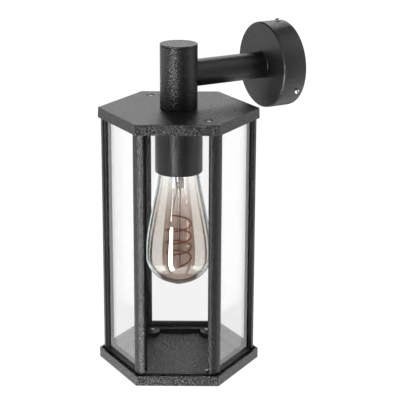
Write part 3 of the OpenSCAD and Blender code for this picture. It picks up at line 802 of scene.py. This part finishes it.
def bulb_glass():
    """Teardrop bulb: a neck, a long flank to the widest point, and a round end with a flat nub."""
    low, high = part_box("bulb_glass")
    wall = 0.8 * MM
    neck_r = 11.6 * MM
    shoulder_z = high.z - 5.2 * MM
    flank_z = high.z - 11 * MM
    flank_r = BULB_R - 13.2 * MM
    wide_z = high.z - 96 * MM
    nub_r = 4.2 * MM
    nub_h = 2 * MM

    def outer(inset):
        tip = low.z + nub_h + inset
        neck = [bezier([(neck_r, shoulder_z), (16.5 * MM, shoulder_z - 0.8 * MM),
                        (18.6 * MM, shoulder_z - 1.8 * MM), (flank_r, flank_z)], i / 10)
                for i in range(11)]
        flank = [bezier([(flank_r, flank_z), (21.6 * MM, flank_z - 24 * MM), (BULB_R, wide_z + 26 * MM),
                         (BULB_R, wide_z)], i / 24)
                 for i in range(1, 25)]
        side = [Vector((p.x - inset, p.y)) for p in neck + flank]
        end = [Vector(((BULB_R - inset) * math.cos(a), wide_z + (tip - wide_z) * math.sin(a)))
               for a in (math.pi / 2 * i / 24 for i in range(1, 24))]
        return [Vector((neck_r - inset, high.z - inset))] + side + end, tip

    skin = outer(0)[0]
    kept = skin[:len(skin) - sum(1 for p in skin if p.y < wide_z and p.x <= nub_r)]
    nub = [Vector((nub_r, low.z + 0.9 * MM)), Vector((nub_r - 0.5 * MM, low.z + 0.2 * MM)),
           Vector((nub_r - 1.3 * MM, low.z)), Vector((0, low.z))]
    lining, inner_tip = outer(wall)
    inside = [Vector((0, inner_tip))] + list(reversed(lining)) + [Vector((0, high.z - wall))]
    outline = [Vector((0, high.z))] + kept + nub + inside
    bm = lathe([(p.x, p.y) for p in outline], steps=128)
    finished("bulb_glass", bm, ON_AXIS, angle=60)


def bulb_cap():
    """Screw cap with its real helical thread, rolled round both ends."""
    low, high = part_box("bulb_cap")
    steps = 72
    pitch = 3.62 * MM
    crest = size_of("bulb_cap").x / 2
    wall = 0.5 * MM
    depth = 1.1 * MM
    rows = 64
    fade = 2.2 * MM

    def radius(z, angle):
        turn = (z - low.z) / pitch + angle / (2 * math.pi)
        wave = 0.5 - 0.5 * math.cos(2 * math.pi * turn)
        ends = min(1, max(0, (z - low.z - 1.2 * MM) / fade)) * min(1, max(0, (high.z - z) / fade))
        return crest - depth + depth * wave * ends

    bm = bmesh.new()
    rings = []
    for inset, order in ((0, range(rows + 1)), (wall, range(rows, -1, -1))):
        for i in order:
            z = low.z + (high.z - low.z) * i / rows
            rings.append([bm.verts.new(((radius(z, a) - inset) * math.cos(a),
                                        (radius(z, a) - inset) * math.sin(a), z))
                          for a in (2 * math.pi * s / steps for s in range(steps))])
    bridge(bm, rings + rings[:1])
    bmesh.ops.recalc_face_normals(bm, faces=bm.faces)
    finished("bulb_cap", bm, ON_AXIS, angle=60)


UPRIGHT = 1e-3                  # a path this close to upright has no sideways direction of its own


def sweep(points, section):
    """Solid swept along points, with a constant section given as (across, up) offsets."""
    bm = bmesh.new()
    rings = []
    for i, p in enumerate(points):
        ahead = points[min(i + 1, len(points) - 1)] - points[max(i - 1, 0)]
        side = ahead.cross(Vector((0, 0, 1)))
        if side.length < UPRIGHT * ahead.length:
            side = Vector((0, 1, 0))
        side.normalize()
        up = side.cross(ahead).normalized()
        rings.append([bm.verts.new(p + side * a + up * b) for a, b in section])
    bridge(bm, rings)
    bm.faces.new(list(reversed(rings[0])))
    bm.faces.new(rings[-1])
    bmesh.ops.recalc_face_normals(bm, faces=bm.faces)
    return bm


def oval(wide, tall, count=12):
    return [(wide / 2 * math.cos(2 * math.pi * i / count), tall / 2 * math.sin(2 * math.pi * i / count))
            for i in range(count)]


def smooth_path(points, per_span=6):
    """Points along a smooth curve through the given ones."""
    path = []
    last = len(points) - 1
    for i in range(last):
        a, b = points[max(i - 1, 0)], points[i]
        c, d = points[i + 1], points[min(i + 2, last)]
        for s in range(per_span):
            t = s / per_span
            path.append(0.5 * (2 * b + (c - a) * t + (2 * a - 5 * b + 4 * c - d) * t * t
                               + (3 * b - a - 3 * c + d) * t ** 3))
    path.append(points[-1])
    return path


FILAMENT_TURNS = 3.667
FILAMENT_START = 195.0          # degrees round the axis, at its top end
FIRST_PITCH = 14.5 * MM
PITCH_LOSS = 0.77 * MM          # the turns close up downwards
TAIL_TURN = 3.3
TAIL_DROP = 36 * MM             # and the last part turn hangs lower
STRIP_R = 0.75 * MM             # half the strip's height


def spiral(share):
    """Point on the filament's centreline, from its top end at 0 to its lower end at 1."""
    turns = FILAMENT_TURNS * share
    radius = size_of("filament").x / 2 - STRIP_R
    angle = math.radians(FILAMENT_START - 360 * turns)
    drop = FIRST_PITCH * turns - PITCH_LOSS * turns ** 2 + TAIL_DROP * max(0, turns - TAIL_TURN) ** 2
    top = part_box("filament")[1].z - STRIP_R
    return Vector((radius * math.cos(angle), radius * math.sin(angle), top - drop))


def crinkled_wire():
    """Path of the loose crinkled wire wound round the glass mount's press."""
    steps = 160
    turns = 2.4
    fall = 9.0 * MM
    flattened = 0.8
    mean_reach = 5.7 * MM
    kink = 0.55 * MM
    small_kink = 0.35 * MM
    hop = 0.7 * MM
    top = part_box("bulb_stem")[1].z - 18.5 * MM
    path = []
    for i in range(steps + 1):
        share = i / steps
        angle = 2 * math.pi * turns * share
        reach = mean_reach + kink * math.sin(61 * share) + small_kink * math.sin(143 * share)
        drop = fall * share + hop * math.sin(97 * share)
        path.append(Vector((reach * math.cos(angle), flattened * reach * math.sin(angle), top - drop)))
    return path


def filament():
    """Flexible light-emitting strip in a spiral, and the wires that carry its ends."""
    steps = 160
    line = [spiral(i / steps) for i in range(steps + 1)]
    strip = to_mesh(sweep(line, oval(1.45 * MM, 2 * STRIP_R)), "filament_strip", ON_AXIS, angle=60)
    add_piece("filament_strip", strip, ["filament"])
    top, end = spiral(0), spiral(1)
    bottom_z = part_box("filament_supports")[0].z + 0.4 * MM
    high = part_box("filament_supports")[1].z - 0.3 * MM
    upper = smooth_path([Vector((-3.5 * MM, 0, high)), Vector((-4.2 * MM, -0.3 * MM, high - 5 * MM)),
                         Vector((-6.5 * MM, -1.2 * MM, high - 15 * MM)),
                         Vector((-9.2 * MM, -2.4 * MM, high - 26 * MM)),
                         top * 0.95 + Vector((0, 0, 0.05 * top.z))])
    lower = smooth_path([Vector((3 * MM, 0, high)), Vector((2.4 * MM, 0, high - 37 * MM)),
                         Vector((2.1 * MM, 0.4 * MM, bottom_z + 5 * MM)),
                         Vector((2.6 * MM, 0.8 * MM, bottom_z + 0.9 * MM)),
                         Vector((end.x * 0.5, end.y * 0.5, bottom_z)),
                         Vector((end.x * 0.92, end.y * 0.92, end.z))])
    leads = []
    for path, thick in ((upper, 0.7 * MM), (lower, 0.7 * MM), (crinkled_wire(), 0.75 * MM)):
        leads.append(to_mesh(sweep(path, oval(thick, thick, count=10)), "lead", angle=60))
    wires = to_mesh(joined(leads), "lead_wires", ON_AXIS, angle=60)
    add_piece("lead_wires", wires, ["filament_supports"], "lead_wire")


def bulb_stem():
    """Glass mount: a flared tube, a flat press and the thin rod inside the spiral."""
    low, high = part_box("bulb_stem")
    # the flare's outline, then the press's levels: height below the top, half width and half depth, in mm
    flare = [(10.4, 0), (10.4, -1.2), (8.2, -4.6), (6.3, -8.5), (5.0, -13.5), (4.6, -19.5),
             (3.4, -19.5), (3.8, -13.5), (5.1, -8.5), (7.0, -4.6), (9.0, -0.6), (9.0, 0)]
    bm = lathe([(r * MM, high.z + z * MM) for r, z in flare], steps=64)
    parts = [to_mesh(bm, "flare", angle=50)]
    rings = []
    bm = bmesh.new()
    count = 32
    levels = [(-19.0, 4.4, 4.4), (-21.0, 4.7, 3.4), (-23.5, 4.95, 1.9), (-26.0, 4.95, 1.55),
              (-28.0, 4.8, 1.5), (-29.0, 3.6, 1.2)]
    for z, wide, deep in levels:
        rings.append([bm.verts.new((wide * MM * math.cos(2 * math.pi * i / count),
                                    deep * MM * math.sin(2 * math.pi * i / count), high.z + z * MM))
                      for i in range(count)])
    bridge(bm, rings)
    bm.faces.new(rings[0])
    bm.faces.new(rings[-1])
    bmesh.ops.recalc_face_normals(bm, faces=bm.faces)
    parts.append(to_mesh(bm, "press", angle=50))
    rod_r = 1.2 * MM
    rod_top = high.z - 28.5 * MM
    rod = rounded([(0, rod_top, 0), (rod_r, rod_top, 0), (rod_r, low.z, 0.8 * MM), (0, low.z, 0)])
    parts.append(to_mesh(lathe(rod, steps=32), "rod", angle=50))
    mount = to_mesh(joined(parts), "glass_mount", ON_AXIS, angle=50)
    add_piece("glass_mount", mount, ["bulb_stem"], "mount_glass")


# ---- Making ----

add_camera()
add_world()
add_floor()
softbox("key strip", turn=-30, elevation=-24, distance=1.6, width=0.5, height=1.5, radiance=28.0)
softbox("key line", turn=-31, elevation=18, distance=1.6, width=0.14, height=0.9, radiance=8.0)
softbox("high front panel", turn=-12, elevation=48, distance=1.6, width=0.9, height=0.6, radiance=4.5)
softbox("left panel", turn=-93, elevation=-10, distance=1.6, width=2.2, height=3.0, radiance=1.75)
softbox("left rear panel", turn=-156, elevation=-6, distance=1.8, width=0.9, height=2.0, radiance=1.8)
softbox("right panel", turn=95, elevation=-6, distance=1.6, width=2.3, height=3.0, radiance=1.75)
softbox("right rear panel", turn=154, elevation=4, distance=1.8, width=0.9, height=1.8, radiance=0.9)
softbox("back panel", turn=180, elevation=10, distance=1.8, width=0.8, height=1.1, radiance=0.95)
softbox("high back panel", turn=180, elevation=45, distance=1.6, width=0.7, height=0.8, radiance=5.0)
softbox("high right panel", turn=90, elevation=50, distance=1.6, width=1.6, height=0.8, radiance=2.0)
softbox("floor panel", turn=0, elevation=-89, distance=0.9, width=2.6, height=2.6, radiance=1.1)

scene = bpy.context.scene
scene.view_settings.view_transform = "Standard"
scene.cycles.transparent_max_bounces = 40
scene.cycles.max_bounces = 16
scene.cycles.transmission_bounces = 16

MATERIALS = make_materials()

stem_parts()
arm_tube()
wall_cup()
lampholder_cup()
cup_screws()
lid_screws()
bulb_glass()
bulb_cap()
bulb_stem()
filament()

for name in ["lid", "tray"]:
    softened(name, width_mm=0.35, segments=3)
for name in ["top_frame", "bottom_frame"]:
    cleaned(name)
for number in range(1, 7):
    softened(f"post_{number}", width_mm=0.35)
    softened(f"pane_{number}", width_mm=0.25)
for name in ["tray_screws", "top_frame_screws", "bottom_frame_screws"]:
    softened(name, width_mm=0.12)

for node, item in frame["nodes"].items():
    if not item.hide_render:
        item.data.materials.clear()
        item.data.materials.append(MATERIALS[LOOK_OF.get(node, SLOT_OF[node])])
